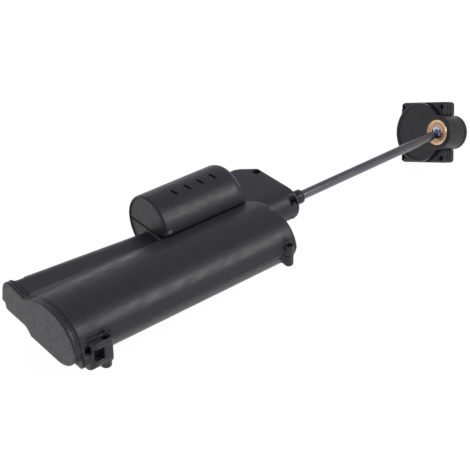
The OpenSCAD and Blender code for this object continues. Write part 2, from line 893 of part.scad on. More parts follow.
module base_block() {
    half = base_h / 2;
    lo = base_off - base_w / 2;
    hi = base_off + base_w / 2;
    color(black) tilted() difference() {
        union() {
            for (b = [[10.05, 13, 0], [12.9, 14.9, 1], [14.8, 17.2, 0], [17.1, 19.1, 1],
                    [19, barrel_rear, 0]])
                along_x(b[0], b[1]) polygon(concat(
                    arc([hi - 4, half - 4], 4 - b[2], 0, 90, 6),
                    arc([lo + 4, half - 4], 4 - b[2], 90, 180, 6),
                    arc([lo + 4, -half + 4], 4 - b[2], 180, 270, 6),
                    arc([hi - 4, -half + 4], 4 - b[2], 270, 360, 6)));
            // corner pads that carry the mounting screws
            difference() {
                for (sy = [-1, 1], sz = [-1, 1]) along_x(7.5, 10.1) polygon([
                    [base_off + sy * (base_w / 2 - 1.5), sz * (half - 21)],
                    [base_off + sy * (base_w / 2 - 1.5), sz * (half - 1.5)],
                    [base_off + sy * (base_w / 2 - 21), sz * (half - 1.5)]]);
                bar_x(5, 12, [disc_off, 0], disc_r + 0.3);
            }
        }
        bar_x(0, barrel_rear + 1, zero, socket_r + 0.3);
        for (sy = [-1, 1], sz = [-1, 1])
            bar_x(0, barrel_rear + 1, [base_off + sy * base_pitch / 2, sz * base_pitch / 2],
                base_hole_r);
        for (p = bracket_screw_yz) {
            bar_x(0, barrel_rear + 1, p, 1.7);
            bar_x(19.5, barrel_rear + 1, p, 3.4);
        }
    }
}

module bracket_screws() {
    color("dimgray") tilted() for (p = bracket_screw_yz) {
        bar_x(19.55, 22.3, p, 3);
        bar_x(5.5, 19.6, p, 1.6);
    }
}

upper_housing();
lower_housing();
rear_cap();
motor_cover();
motor_tail_cap();
housing_screws();
front_bush();
nose_collar();
wiper_seal();
gear_plate();
plate_screws();
bearing_outer_race();
bearing_balls();
rear_block();
rear_bush();
guide_rail();
limit_switches();
switch_plungers();
battery_cells();
battery_end_plates();
battery_straps();
control_board();
board_capacitors();
board_relays();
board_chip();
board_posts();
motor_can();
motor_end_bell();
motor_terminals();
gearhead();
motor_saddle();
leadscrew();
screw_gear();
bearing_inner_race();
screw_locknut();
output_shaft();
pinion();
push_rod();
carriage();
drive_nut();
rod_locknut();
ball_stud();
inner_race();
ball_liner();
socket_housing();
base_block();
brass_ring();
rear_seat();
preload_washer();
barrel_cap();
bracket_screws();
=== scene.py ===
import json
import math

import bmesh
import bpy
import numpy as np
import openvdb
from mathutils import Euler, Matrix, Vector


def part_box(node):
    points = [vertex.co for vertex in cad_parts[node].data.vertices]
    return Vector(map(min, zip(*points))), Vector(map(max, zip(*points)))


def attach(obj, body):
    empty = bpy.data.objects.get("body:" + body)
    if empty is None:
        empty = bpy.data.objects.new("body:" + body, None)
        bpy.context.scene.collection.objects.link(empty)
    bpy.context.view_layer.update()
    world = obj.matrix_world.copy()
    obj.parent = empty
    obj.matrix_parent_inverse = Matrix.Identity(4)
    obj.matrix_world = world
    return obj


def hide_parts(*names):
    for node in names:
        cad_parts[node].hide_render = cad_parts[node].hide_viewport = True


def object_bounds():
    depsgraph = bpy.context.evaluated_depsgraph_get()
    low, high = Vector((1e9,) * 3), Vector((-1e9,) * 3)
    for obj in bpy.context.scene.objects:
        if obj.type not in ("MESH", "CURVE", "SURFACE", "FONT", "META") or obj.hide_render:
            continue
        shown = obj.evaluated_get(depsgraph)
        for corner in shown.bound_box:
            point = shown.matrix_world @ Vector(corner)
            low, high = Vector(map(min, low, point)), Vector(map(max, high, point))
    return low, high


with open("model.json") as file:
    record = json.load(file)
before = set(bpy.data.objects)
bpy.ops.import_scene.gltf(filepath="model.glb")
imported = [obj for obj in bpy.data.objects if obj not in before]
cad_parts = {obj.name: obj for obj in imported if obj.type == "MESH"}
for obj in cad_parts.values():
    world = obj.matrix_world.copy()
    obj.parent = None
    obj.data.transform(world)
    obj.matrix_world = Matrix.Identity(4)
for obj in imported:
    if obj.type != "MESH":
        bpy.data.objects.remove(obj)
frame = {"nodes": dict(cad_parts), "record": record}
cad_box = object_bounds()

# Sizes below are millimetres in the row frame: +X along the rod, +Y motor side, +Z up.
MM = 0.001


def lowest(node):
    """The low corner of a CAD node's box."""
    return np.array(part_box(node)[0]) / MM


def highest(node):
    """The high corner of a CAD node's box."""
    return np.array(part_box(node)[1]) / MM


# ---------- places, most of them read from the frame ----------

REAR_X = lowest("rear_cap")[0] + 0.05
SEAM_X = lowest("upper_housing")[0]
FRONT_X = 228.0                                  # front face of the bulge
NOSE_X = highest("upper_housing")[0]
GEAR_FRONT_X = NOSE_X - 1.5                      # flat front face of the front housing
COLLAR_X = highest("nose_collar")[0]
BARREL_X = lowest("motor_cover")[0]
BARREL_END_X = highest("motor_cover")[0]
HOUSING_X = BARREL_END_X - 22.0                  # rear end of the front housing, under the cover
SPLIT_Z = 38.0                                   # between the barrel's cover and its trough
PART_Z = 18.0                                    # between the upper and lower shells
PART_STEP = ((-30.0, -22.0), (25.3, PART_Z))     # Y and Z where that line steps up beside the bulge
WALL = 2.5                                       # of the shells
ROD_R = 5.0
COLLAR_R = 7.6
ROD = (11.0, 25.0)                               # Y and Z of the rod's axis
BARREL = (45.5, 40.2)                            # Y and Z of the barrel's axis
BARREL_R = 32.95
NOSE_R = 18.0
FLANGE_Z = 7.0
GEAR_TOP_Z = 43.2
BALL = Vector((511.0, *ROD))                     # centre of the ball joint
BRACKET_TURN = Euler([math.radians(a) for a in (-23.2, 17.7, -4.3)]).to_matrix()


# ---------- solids as distance fields ----------
# A field is an array of distances to a surface, negative inside, on a grid of sample points.

class Grid:
    """Sample points of a box, held as three arrays that broadcast together."""

    def __init__(self, low, high, step):
        self.low = np.array(low, np.float32)
        self.step = step
        axes = [np.arange(a, b + step, step, dtype=np.float32) for a, b in zip(low, high)]
        self.x = axes[0][:, None, None]
        self.y = axes[1][None, :, None]
        self.z = axes[2][None, None, :]
        self.shape = tuple(len(a) for a in axes)


def both(a, b, r=0.0):
    """What lies in a and in b, with its convex edge rounded to radius r."""
    if r <= 0:
        return np.maximum(a, b)
    return np.minimum(-r, np.maximum(a, b)) + np.hypot(np.maximum(r + a, 0), np.maximum(r + b, 0))


def join(a, b, r=0.0):
    """What lies in a or in b, with the corner between them filled to radius r."""
    return -both(-a, -b, r)


def cut(a, b, r=0.0):
    """a without b, with the rim rounded to radius r."""
    return both(a, -b, r)


def slab(axis, low, high):
    """What lies between two flat faces across an axis."""
    return np.abs(axis - (low + high) / 2) - (high - low) / 2


def block(g, low, high, r=0.0):
    """A box between two corners, with its edges rounded to radius r."""
    sides = [slab(a, lo + r, hi - r) for a, lo, hi in zip((g.x, g.y, g.z), low, high)]
    outside = np.sqrt(sum(np.maximum(s, 0) ** 2 for s in sides))
    return outside + np.minimum(np.maximum(np.maximum(sides[0], sides[1]), sides[2]), 0) - r


def bar(g, centre, r):
    """An endless round bar along X."""
    return np.hypot(g.y - centre[0], g.z - centre[1]) - r


def post(g, centre, r):
    """An endless round post along Z."""
    return np.hypot(g.x - centre[0], g.y - centre[1]) - r


def turned_axes(u, v, angle):
    """Coordinates u and v counted along axes turned by an angle."""
    return u * math.cos(angle) + v * math.sin(angle), v * math.cos(angle) - u * math.sin(angle)


def arc(centre, r, start, end, count):
    """Points along an arc, its ends given in degrees."""
    angles = np.radians(np.linspace(start, end, count + 1))
    return [(centre[0] + r * math.cos(a), centre[1] + r * math.sin(a)) for a in angles]


class Outline:
    """Distance to a closed outline, tabled once and then looked up at any two coordinates."""

    STEP = 0.5
    MARGIN = 12.0

    def __init__(self, points):
        pts = np.array(points, float)
        self.low = pts.min(0) - self.MARGIN
        size = np.ceil((pts.max(0) + self.MARGIN - self.low) / self.STEP).astype(int) + 1
        u, v = (self.low[i] + self.STEP * np.arange(size[i]) for i in (0, 1))
        u, v = np.meshgrid(u, v, indexing="ij")
        nearest = np.full(u.shape, np.inf)
        inside = np.zeros(u.shape, bool)
        for (au, av), (bu, bv) in zip(pts, np.roll(pts, -1, 0)):
            du, dv = bu - au, bv - av
            length2 = du * du + dv * dv
            if length2 == 0:
                continue
            t = np.clip(((u - au) * du + (v - av) * dv) / length2, 0, 1)
            nearest = np.minimum(nearest, np.hypot(u - au - t * du, v - av - t * dv))
            if av != bv:
                crosses = (av > v) != (bv > v)
                inside ^= crosses & (u < au + (v - av) / dv * du)
        self.table = np.where(inside, -nearest, nearest).astype(np.float32)

    def at(self, u, v):
        cells = []
        for value, low, count in zip((u, v), self.low, self.table.shape):
            place = np.clip((value - low) / self.STEP, 0, count - 1.001)
            whole = place.astype(np.int32)
            cells.append((whole, (place - whole).astype(np.float32)))
        (i, fi), (j, fj) = cells
        t = self.table
        near = t[i, j] * (1 - fj) + t[i, j + 1] * fj
        far = t[i + 1, j] * (1 - fj) + t[i + 1, j + 1] * fj
        return near * (1 - fi) + far * fi


def sample(field, places):
    """The field at places counted in grid steps, by linear interpolation."""
    limit = np.array(field.shape) - 1.001
    places = np.clip(places, 0, limit)
    whole = places.astype(np.int32)
    f = places - whole
    i, j, k = whole.T
    total = 0
    for a in (0, 1):
        for b in (0, 1):
            for c in (0, 1):
                weight = abs(1 - a - f[:, 0]) * abs(1 - b - f[:, 1]) * abs(1 - c - f[:, 2])
                total = total + weight * field[i + a, j + b, k + c]
    return total


def slope(field, places):
    """The field's gradient and how sharply it bends, in grid steps."""
    gradient = np.zeros(places.shape)
    bend = -6 * sample(field, places)
    for axis in range(3):
        step = np.zeros(3)
        step[axis] = 1.0
        ahead, behind = sample(field, places + step), sample(field, places - step)
        gradient[:, axis] = (ahead - behind) / 2
        bend = bend + ahead + behind
    length = np.linalg.norm(gradient, axis=1, keepdims=True)
    return gradient / np.maximum(length, 1e-9), length[:, 0], bend


def skin(name, grid, field, adaptivity=0.0):
    """A mesh object of the surface where the field is zero. Its "edge" attribute marks convex edges."""
    field = np.array(np.broadcast_to(field, grid.shape), np.float32, order="C")
    volume = openvdb.FloatGrid(5.0)              # taken as the distance everywhere off the grid
    volume.copyFromArray(field)
    points, triangles, quads = volume.convertToPolygons(isovalue=0.0, adaptivity=adaptivity)
    points = points.astype(float)
    normals, length, _ = slope(field, points)
    # each point moves onto the surface, by less than a grid step
    shift = sample(field, points) / np.maximum(length, 0.3)
    points -= normals * np.clip(shift, -0.7 * grid.step, 0.7 * grid.step)[:, None] / grid.step
    normals, _, bend = slope(field, points)
    mesh = bpy.data.meshes.new(name)
    faces = [tuple(f) for f in triangles] + [tuple(f) for f in quads]
    mesh.from_pydata(((points * grid.step + grid.low) * MM).tolist(), [], faces)
    first = mesh.polygons[0]
    if Vector(normals[first.vertices[0]]).dot(first.normal) < 0:
        mesh.flip_normals()
    mesh.validate()
    # the moulded finish paints these convex edges lighter: partly wear, partly a painted highlight
    edge = mesh.attributes.new("edge", "FLOAT", "POINT")
    edge.data.foreach_set("value", np.clip(bend / grid.step, 0, 1).astype(np.float32))
    mesh.shade_smooth()
    mesh.normals_split_custom_set_from_vertices(normals.tolist())
    return linked(name, mesh)


def linked(name, data):
    """A new object that holds the data, put into the scene."""
    obj = bpy.data.objects.new(name, data)
    bpy.context.scene.collection.objects.link(obj)
    return obj


# ---------- turned pieces ----------

CURVE = (0.0, 0.25, 0.5, 0.75, 1.0)              # where a rounded corner's points lie along its curve


def rounded(profile, r):
    """Outline points with every corner rounded to about radius r."""
    out = []
    count = len(profile)
    for i in range(count):
        p, q, s = (Vector(profile[(i + k) % count]) for k in (-1, 0, 1))
        reach_in = min(r, (p - q).length * 0.45)
        reach_out = min(r, (s - q).length * 0.45)
        a = q + (p - q).normalized() * reach_in
        b = q + (s - q).normalized() * reach_out
        for t in CURVE:
            out.append(tuple(a * (1 - t) ** 2 + q * (2 * t * (1 - t)) + b * t * t))
    return out


def rounded_open(profile, r):
    """Like rounded, for an outline whose two ends lie on the axis and stay as they are."""
    inner = rounded(profile, r)[len(CURVE):-len(CURVE)]
    return [profile[0]] + inner + [profile[-1]]


def turned(name, profile, r, segments=96, centre=None, turn=None):
    """A body turned about X from an outline of (x, radius) points; a radius of zero is on the axis."""
    closed = all(radius > 1e-6 for _, radius in profile)
    points = rounded(profile, r) if closed else rounded_open(profile, r)
    verts, faces, rings = [], [], []
    for x, radius in points:
        if radius < 1e-6:
            rings.append([len(verts)])
            verts.append((x, 0.0, 0.0))
            continue
        rings.append(list(range(len(verts), len(verts) + segments)))
        for k in range(segments):
            a = 2 * math.pi * k / segments
            verts.append((x, radius * math.cos(a), radius * math.sin(a)))
    following = rings[1:] + rings[:1] if closed else rings[1:]
    for first, second in zip(rings, following):
        for k in range(segments):
            n = (k + 1) % segments
            if len(first) == 1:
                faces.append((first[0], second[n], second[k]))
            elif len(second) == 1:
                faces.append((first[k], first[n], second[0]))
            else:
                faces.append((first[k], first[n], second[n], second[k]))
    turn = turn or Matrix.Identity(3)
    centre = Vector(centre or (0.0, *ROD))
    mesh = bpy.data.meshes.new(name)
    mesh.from_pydata([(turn @ Vector(v) + centre) * MM for v in verts], [], faces)
    obj = linked(name, mesh)
    face_outwards(obj)
    mesh.shade_smooth()
    mesh.set_sharp_from_angle(angle=math.radians(50))
    return obj


def face_outwards(obj):
    """Turns every face of a mesh object outwards."""
    bm = bmesh.new()
    bm.from_mesh(obj.data)
    bmesh.ops.recalc_face_normals(bm, faces=bm.faces)
    bm.to_mesh(obj.data)
    bm.free()


# ---------- the box's outline, in Y and Z ----------

BULGE = Outline(arc((-28, 32), 32, 270, 189.4, 10) + arc((-28, 21.5), 32, 170.6, 104.25, 14)
                + arc((-20, -10), 64.5, 104.25, 50, 14) + [(26.5, 8.4), (17, 0)])
# the flange above the parting line and below it
FLANGE_TOP = Outline([(7, 10), (50, 10)] + arc((45, 25), 17, -30, 94, 14) + [(21.5, 41), (7, 38)])
FLANGE_FOOT = Outline([(7, FLANGE_Z)] + arc((56.5, FLANGE_Z + 4), 4, -90, 0, 5)
                      + [(60.5, 26), (7, 26)])
# what the rear cap adds round the flange
CAP_LOBE = Outline([(7, 14), (64.6, 14), (65.9, 16.5)] + arc((46, 26), 17.3, 14, 94, 10)
                   + [(21.5, 40.5), (7, 37)])
NARROWS = math.tan(math.radians(2.3))            # how the flange narrows towards the front
SINKS = math.tan(math.radians(2.1))              # and how it sinks

# the ears; their Y is counted outwards
EAR_X = (-17.0, 5.5)
EAR_OUT = 66.0
EAR_ROOT = 45.0
EAR_CUT = 5.0                                    # size of the cut rear corner
EAR_FLOOR_R = 14.0                               # of its rounded lower outline
EAR_HOLE = 59.5                                  # Y of its hole
EAR_HOLE_R = 3.2
EAR_HEIGHTS = ((-1, 33.0), (1, 29.0))            # side of the box, top of its ear
EAR_SHELF_Z = (8.0, 21.0)
POCKET_IN = 56.0                                 # Y where the pocket over an ear starts
NOTCH_IN = 51.5                                  # and the notch beside it on the motor's side
BOSS = (215.4, -60.8)                            # X and Y of the round boss beside the bulge
BOSS_R = 4.8
BOSS_Z = (13.0, 36.0)
# closing screws: X, Y, and for those on top the height and radius of the recess's rim
TOP_SCREWS = ((*BOSS, BOSS_Z[1], 3.4), (273.0, 55.5, GEAR_TOP_Z, 4.4), (273.0, -3.0, 36.5, 4.4))
LOW_SCREWS = ((34.0, 50.0), (99.0, 47.0))


def flange(g, x0, x1):
    """The low part of the box beside the bulge, which narrows and sinks towards the front."""
    across = g.y + NARROWS * (g.x - SEAM_X)
    upper = FLANGE_TOP.at(across, g.z + SINKS * (g.x - SEAM_X))
    lower = FLANGE_FOOT.at(across, g.z)
    # the halves overlap by more than a wall, or hollowing would leave a skin between them
    overlap = WALL + 1.5
    body = join(both(upper, PART_Z - overlap - g.z), both(lower, g.z - PART_Z - overlap))
    return both(body, slab(g.x, x0, x1), 0.5)


def barrel(g, r, x0, x1):
    """The motor barrel, with a round rim at its tail and domed at its front."""
    body = bar(g, BARREL, r)
    return both(both(body, g.x - x1, 9.5), x0 - g.x, 2.8)


def front_housing(g, x0, shrink=0.0):
    """The flat housing ahead of the bulge, with a cut corner and the nose round the rod."""
    plan = Outline([(x0, ROD[0]), (GEAR_FRONT_X, ROD[0]), (GEAR_FRONT_X, 60), (264, 72), (258, 74.5),
                    (x0, 74.5)]).at(g.x, g.y) + shrink
    upper = both(plan, slab(g.z, FLANGE_Z + 0.1 + shrink, GEAR_TOP_Z - 0.1 - shrink), 2.5)
    nose = both(bar(g, ROD, NOSE_R - shrink), slab(g.x, x0, GEAR_FRONT_X - shrink), 2.5)
    return join(upper, nose)


def ear_and_pocket(g, side, top):
    """One ear with the shelf behind it, and the pocket above it."""
    y = g.y * side
    corner = (EAR_X[0] + EAR_CUT - g.x + y - EAR_OUT) / math.sqrt(2)
    plan = both(both(slab(g.x, *EAR_X), y - EAR_OUT, 2.5), corner, 1.5)
    ear = both(plan, g.z - top, 0.7)
    outward, down = y - EAR_OUT + EAR_FLOOR_R, EAR_FLOOR_R - g.z
    ear = both(ear, np.hypot(np.maximum(outward, 0), np.maximum(down, 0)) - EAR_FLOOR_R, 0.8)
    seat = both(post(g, (0, side * EAR_HOLE), EAR_HOLE_R + 2), slab(g.z, 0, EAR_FLOOR_R), 0.5)
    ear = both(join(ear, seat, 1.0), EAR_ROOT - y)
    ear = join(ear, shelf(g, y, SEAM_X + 0.15, EAR_X[0] + 3), 1.5)
    pocket = both(slab(g.x, EAR_X[0] - 1, EAR_X[1] + 2.5), POCKET_IN - y, 3.0)
    if side > 0:
        pocket = join(pocket, both(slab(g.x, EAR_X[0] - 5, EAR_X[0] + 5.5), NOTCH_IN - y, 3.0))
    return ear, both(pocket, top - 0.8 - g.z)


def shelf(g, y, x0, x1):
    """The bar that ties an ear to the rear cap; y is counted outwards."""
    section = both(both(y - EAR_OUT + 4, slab(g.z, *EAR_SHELF_Z), 5.0), EAR_ROOT - y)
    return both(section, slab(g.x, x0, x1), 0.5)


def ear_window(g, side, top):
    """The opening low in an ear's outer side, and the one in its rear above the shelf."""
    y = g.y * side
    low = both(both(slab(g.x, EAR_X[0] + 3, EAR_X[0] + 12.7), slab(g.z, 14, top - 6.5), 1.5),
               EAR_OUT - 9 - y)
    rear = both(slab(g.x, EAR_X[0] - 3, EAR_X[0] + 5), slab(g.z, EAR_SHELF_Z[1] + 0.5, top - 3.5), 0.8)
    return join(low, both(rear, slab(y, EAR_OUT - 13.5, EAR_OUT - 4.5), 0.8), 0.8)


def box_shape(g):
    """The closed box before it is hollowed, without ears and boss."""
    outline = BULGE.at(g.y, g.z)
    bulge = both(both(outline, g.x - FRONT_X, 1.8), SEAM_X - g.x, 0.6)
    body = join(bulge, flange(g, SEAM_X, HOUSING_X + 2), 5.0)
    trough = both(barrel(g, BARREL_R, BARREL_X, BARREL_END_X), g.z - SPLIT_Z, 0.25)
    body = join(body, trough, 1.5)
    hull = join(body, front_housing(g, HOUSING_X), 1.5)
    cover_room = both(barrel(g, BARREL_R + 0.25, BARREL_X - 5, BARREL_END_X + 0.4), SPLIT_Z - g.z)
    return cut(hull, both(cover_room, -outline), 0.3)


def ears_and_pockets(g, hull):
    """The hull with its ears, and the pockets over them, which the hollow stays a wall away from."""
    keep_out = None
    for side, top in EAR_HEIGHTS:
        ear, pocket = ear_and_pocket(g, side, top)
        hull = join(cut(hull, pocket, 1.2), ear, 0.2)
        keep_out = pocket if keep_out is None else join(keep_out, pocket)
    return hull, keep_out


def boss(g):
    """Round boss outside the bulge, tied to it by a web."""
    column = both(post(g, BOSS, BOSS_R), slab(g.z, *BOSS_Z), 1.2)
    web = both(slab(g.x, BOSS[0] - BOSS_R + 0.6, BOSS[0] + BOSS_R - 0.6), slab(g.y, BOSS[1], -50))
    return join(column, both(web, slab(g.z, BOSS_Z[0], BOSS_Z[1] - 3), 1.2))


def screw_recess(g, x, y, rim, r):
    """A deep recess for a screw's head, with its through hole."""
    head = both(post(g, (x, y), r), rim - r - 1.1 - g.z)
    return join(head, post(g, (x, y), 1.8))


def hollow(g, hull, pockets):
    """The space inside the shells, round the posts that stay solid for screws, rod and ears."""
    inner = np.maximum(hull + WALL, WALL - pockets)
    # a passage through the bulge's front wall for the screw and its gears
    inner = join(inner, block(g, (215, -2, 10.5), (FRONT_X + 1, 52, 37)))
    # the trough is open under the barrel's cover
    well = both(bar(g, BARREL, BARREL_R - WALL), slab(g.z, PART_Z, SPLIT_Z + 1))
    well = both(well, slab(g.x, BARREL_X + 4.1, HOUSING_X - WALL))
    inner = join(inner, cut(well, BULGE.at(g.y, g.z)))
    for x, y, _, r in TOP_SCREWS:
        inner = cut(inner, post(g, (x, y), r + 1.7))
    for place in LOW_SCREWS:
        inner = cut(inner, post(g, place, 4.0))
    inner = cut(inner, both(bar(g, ROD, 11), slab(g.x, NOSE_X - 19, NOSE_X)))
    for side, top in EAR_HEIGHTS:
        well = both(slab(g.x, EAR_X[0] - 1, EAR_X[1] + 1), EAR_OUT - 15 - g.y * side)
        inner = cut(inner, both(well, g.z - top))
    return inner


def shells():
    """Both shells' common field; the parting line is cut afterwards."""
    g = Grid((-26, -68.4, -2), (284, 78, 58), step=0.7)
    hull = box_shape(g)
    skin_field, pockets = ears_and_pockets(g, hull)
    boss_pocket = both(post(g, BOSS, BOSS_R + 1.4), BOSS_Z[1] - g.z)
    skin_field = join(cut(skin_field, boss_pocket, 1.0), boss(g), 2.0)
    nose_ring = both(bar(g, ROD, 9.5), slab(g.x, NOSE_X - 10, NOSE_X), 0.5)
    skin_field = join(skin_field, nose_ring, 0.8)
    field = cut(skin_field, hollow(g, hull, pockets))
    # the walls round the pockets stop just short of the rear wall
    field = cut(field, both(hull + WALL, g.x - SEAM_X - 3))
    for screw in TOP_SCREWS:
        field = cut(field, screw_recess(g, *screw), 0.5)
    for place in LOW_SCREWS:
        field = cut(field, both(post(g, place, 3.4), g.z - FLANGE_Z - 3.2), 0.4)
        field = cut(field, both(post(g, place, 1.8), g.z - PART_Z))
    for side, top in EAR_HEIGHTS:
        hole = (0, side * EAR_HOLE)
        field = cut(field, post(g, hole, EAR_HOLE_R), 0.3)
        field = cut(field, both(post(g, hole, EAR_HOLE_R + 1.2), top - 1 - g.z), 0.3)
        field = cut(field, ear_window(g, side, top), 0.5)
    field = cut(field, bar(g, ROD, 6.5))
    # a nick for the closing latch in the bulge's front top edge
    field = cut(field, block(g, (224.5, -23.5, 51.5), (232, -19, 60), 0.8), 0.4)
    # the trough's tail face is sunk inside its rim
    tail = both(bar(g, BARREL, BARREL_R - 3.4), slab(g.x, BARREL_X - 1.8, BARREL_X + 1.2))
    tail = both(tail, g.z - SPLIT_Z + 1.0, 0.3)
    beside = join(flange(g, SEAM_X, BARREL_X + 9), BULGE.at(g.y, g.z))
    return g, cut(field, cut(tail, beside - 0.8), 0.6)


def adopt(piece, body, slot, node):
    """The piece rides on a body, takes a slot's finish and stands for the CAD node."""
    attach(piece, body)
    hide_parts(node)
    piece.data.materials.clear()
    piece.data.materials.append(finish(slot))


def make_shells():
    """The upper and the lower shell, with a fine gap between them along the parting line."""
    g, field = shells()
    gap = 0.15
    above = g.z - np.interp(g.y, *PART_STEP).astype(np.float32)
    for node, keep in (("upper_housing", gap - above), ("lower_housing", above + gap)):
        piece = skin(node + "_skin", g, both(field, keep), adaptivity=0.08)
        adopt(piece, "housing", "shell_black", node)


def make_rear_cap():
    """The rear cap, which stands proud of the shells, with the lug on the boss's side."""
    g = Grid((REAR_X - 1.2, -62, -2), (SEAM_X + 5, 67, 58), step=0.6)
    bulge = BULGE.at(g.y, g.z)
    lobe = CAP_LOBE.at(g.y, g.z)
    foot = FLANGE_FOOT.at(g.y, g.z)
    outline = join(join(bulge, lobe, 3.0), foot, 1.2)
    body = both(outline, REAR_X - g.x, 1.8)
    body = both(body, g.x - SEAM_X + 0.2, 0.6)
    body = join(body, shelf(g, -g.y, REAR_X + 3, SEAM_X - 0.2), 1.5)
    # a fine step runs round the rim, just behind the rounded edge
    body = cut(body, both(-outline - 0.5, slab(g.x, REAR_X + 2.2, SEAM_X - 1.8)), 0.4)
    # a hollow spigot reaches into the shells
    room = join(bulge, FLANGE_TOP.at(g.y, g.z))
    spigot = both(both(room + WALL + 0.3, g.x - SEAM_X - 3), np.abs(g.y) - 48, 0.5)
    body = join(body, both(spigot, REAR_X + 3 - g.x))
    body = cut(body, both(room + 4.6, REAR_X + WALL - g.x), 0.4)
    piece = skin("rear_cap_skin", g, body, adaptivity=0.02)
    adopt(piece, "housing", "shell_black", "rear_cap")


SLOTS = [153.5 + 15.9 * i for i in range(4)]     # X of the cover's vent slots
SLOT_LEAN = math.radians(10)                     # of the row, towards the rod
SLOT_SLANT = math.radians(18)                    # of each slot


def make_motor_cover():
    """The upper part of the barrel: a domed shell with a row of vent slots."""
    g = Grid((BARREL_X - 1.2, 10, SPLIT_Z - 1.2), (BARREL_END_X + 1.8, 80, 75), step=0.6)
    outside = barrel(g, BARREL_R, BARREL_X, BARREL_END_X)
    bulge = BULGE.at(g.y, g.z)
    # a small rounded foot at the tail, where the rim meets the bulge
    foot = both(both(bar(g, BARREL, BARREL_R + 0.9), bulge - 3.5, 1.2),
                slab(g.x, BARREL_X + 0.2, BARREL_X + 7), 1.2)
    outside = join(outside, foot, 2.0)
    cover = cut(outside, both(bar(g, BARREL, BARREL_R - WALL), g.x - BARREL_END_X + WALL, 9.0), 0.4)
    cover = both(cover, SPLIT_Z + 0.15 - g.z, 0.25)
    cover = cut(cover, both(bulge - 0.5, g.x - FRONT_X - 2), 0.4)
    cover = cut(cover, front_housing(g, HOUSING_X - 1, -0.4), 0.4)
    across, up = turned_axes(g.y - BARREL[0], g.z - BARREL[1], SLOT_LEAN)
    for x in SLOTS:
        along, aside = turned_axes(across, g.x - x, -SLOT_SLANT)
        rounded_slot = np.hypot(aside, np.maximum(np.abs(along) - 3.4, 0)) - 1.3
        cover = cut(cover, both(rounded_slot, BARREL_R - 6 - up), 0.4)
    piece = skin("motor_cover_skin", g, cover, adaptivity=0.02)
    adopt(piece, "housing", "shell_black", "motor_cover")


def make_tail_cap():
    """The flat disc that closes the barrel's cover at its tail."""
    g = Grid((BARREL_X, 10, SPLIT_Z - 1), (BARREL_X + 6, 78, 74), step=0.5)
    disc = both(bar(g, BARREL, BARREL_R - WALL - 0.15), slab(g.x, BARREL_X + 1.2, BARREL_X + 4.1), 0.4)
    disc = both(disc, SPLIT_Z + 0.15 - g.z, 0.25)
    disc = cut(disc, BULGE.at(g.y, g.z) - 0.5, 0.3)
    # a nick at its lower corner, beside the bulge
    disc = cut(disc, np.hypot(g.y - 25, g.z - SPLIT_Z) - 3.2, 0.3)
    piece = skin("motor_tail_cap_skin", g, disc)
    adopt(piece, "housing", "shell_black", "motor_tail_cap")


def make_nose():
    """The collar round the rod, and the wiper seal in its mouth."""
    x0, x1 = NOSE_X + 0.05, COLLAR_X
    groove, bore, mouth = COLLAR_R - 0.6, ROD_R + 0.5, COLLAR_R - 1.0
    collar = turned("nose_collar_turned", [(x0, bore), (x0, COLLAR_R), (x0 + 6.2, COLLAR_R),
                    (x0 + 6.6, groove), (x0 + 7.6, groove), (x0 + 8.0, COLLAR_R), (x1, COLLAR_R),
                    (x1, mouth), (x1 - 4.4, mouth), (x1 - 4.4, bore)], r=0.45)
    adopt(collar, "housing", "collar_black", "nose_collar")
    lip = ROD_R + 0.08
    seal = turned("wiper_seal_turned", [(x1 - 4.3, bore), (x1 - 4.3, mouth - 0.1),
                  (x1 - 0.8, mouth - 0.1), (x1 - 0.4, bore + 0.3), (x1 - 0.3, lip), (x1 - 1.2, lip),
                  (x1 - 2.2, bore)], r=0.2)
    adopt(seal, "housing", "seal_rubber", "wiper_seal")


BALL_R = 6.5
RACE_R = (6.58, 8.9)                             # inner and outer radius of the race
LINER_R = (9.0, 11.5)                            # and of the liner
SEAT_R = 11.62                                   # of the hollow ball that the ring holds the liner in


def make_rod():
    """The rod with its tapered tip, and the ball on its short stud."""
    back, front = lowest("push_rod")[0], BALL.x - 9.5
    rod = turned("push_rod_turned", [(back, 0), (back, ROD_R), (back + 0.5, ROD_R),
                 (front - 4.5, ROD_R), (front, 3.1), (front, 0)], r=0.25, segments=128)
    adopt(rod, "rod", "rod_dark", "push_rod")
    stud = [(BALL.x - 9.45, 0), (BALL.x - 9.45, 2.5), (BALL.x - 9.0, 2.8), (BALL.x - 6.6, 2.8)]
    # the ball starts 0.46 radians round from the axis, where it is about as wide as the stud
    ball = [(BALL.x - BALL_R * math.cos(a), BALL_R * math.sin(a))
            for a in np.linspace(0.46, math.pi, 40)]
    points = stud + ball[:-1] + [(BALL.x + BALL_R, 0)]
    ball_stud = turned("ball_stud_turned", points, r=0.05, segments=128)
    adopt(ball_stud, "rod", "ball_steel", "ball_stud")


def ball_side(r, first, last, steps=18):
    """Points on a ball's outline from one X to another."""
    angles = np.linspace(math.acos(first / r), math.acos(last / r), steps)
    return [(r * math.cos(a), r * math.sin(a)) for a in angles]


def zone(radii, x0, x1):
    """Outline of a ring cut from a hollow ball between two flat faces."""
    inner, outer = radii
    return ball_side(outer, x0, x1) + ball_side(inner, x1, x0)


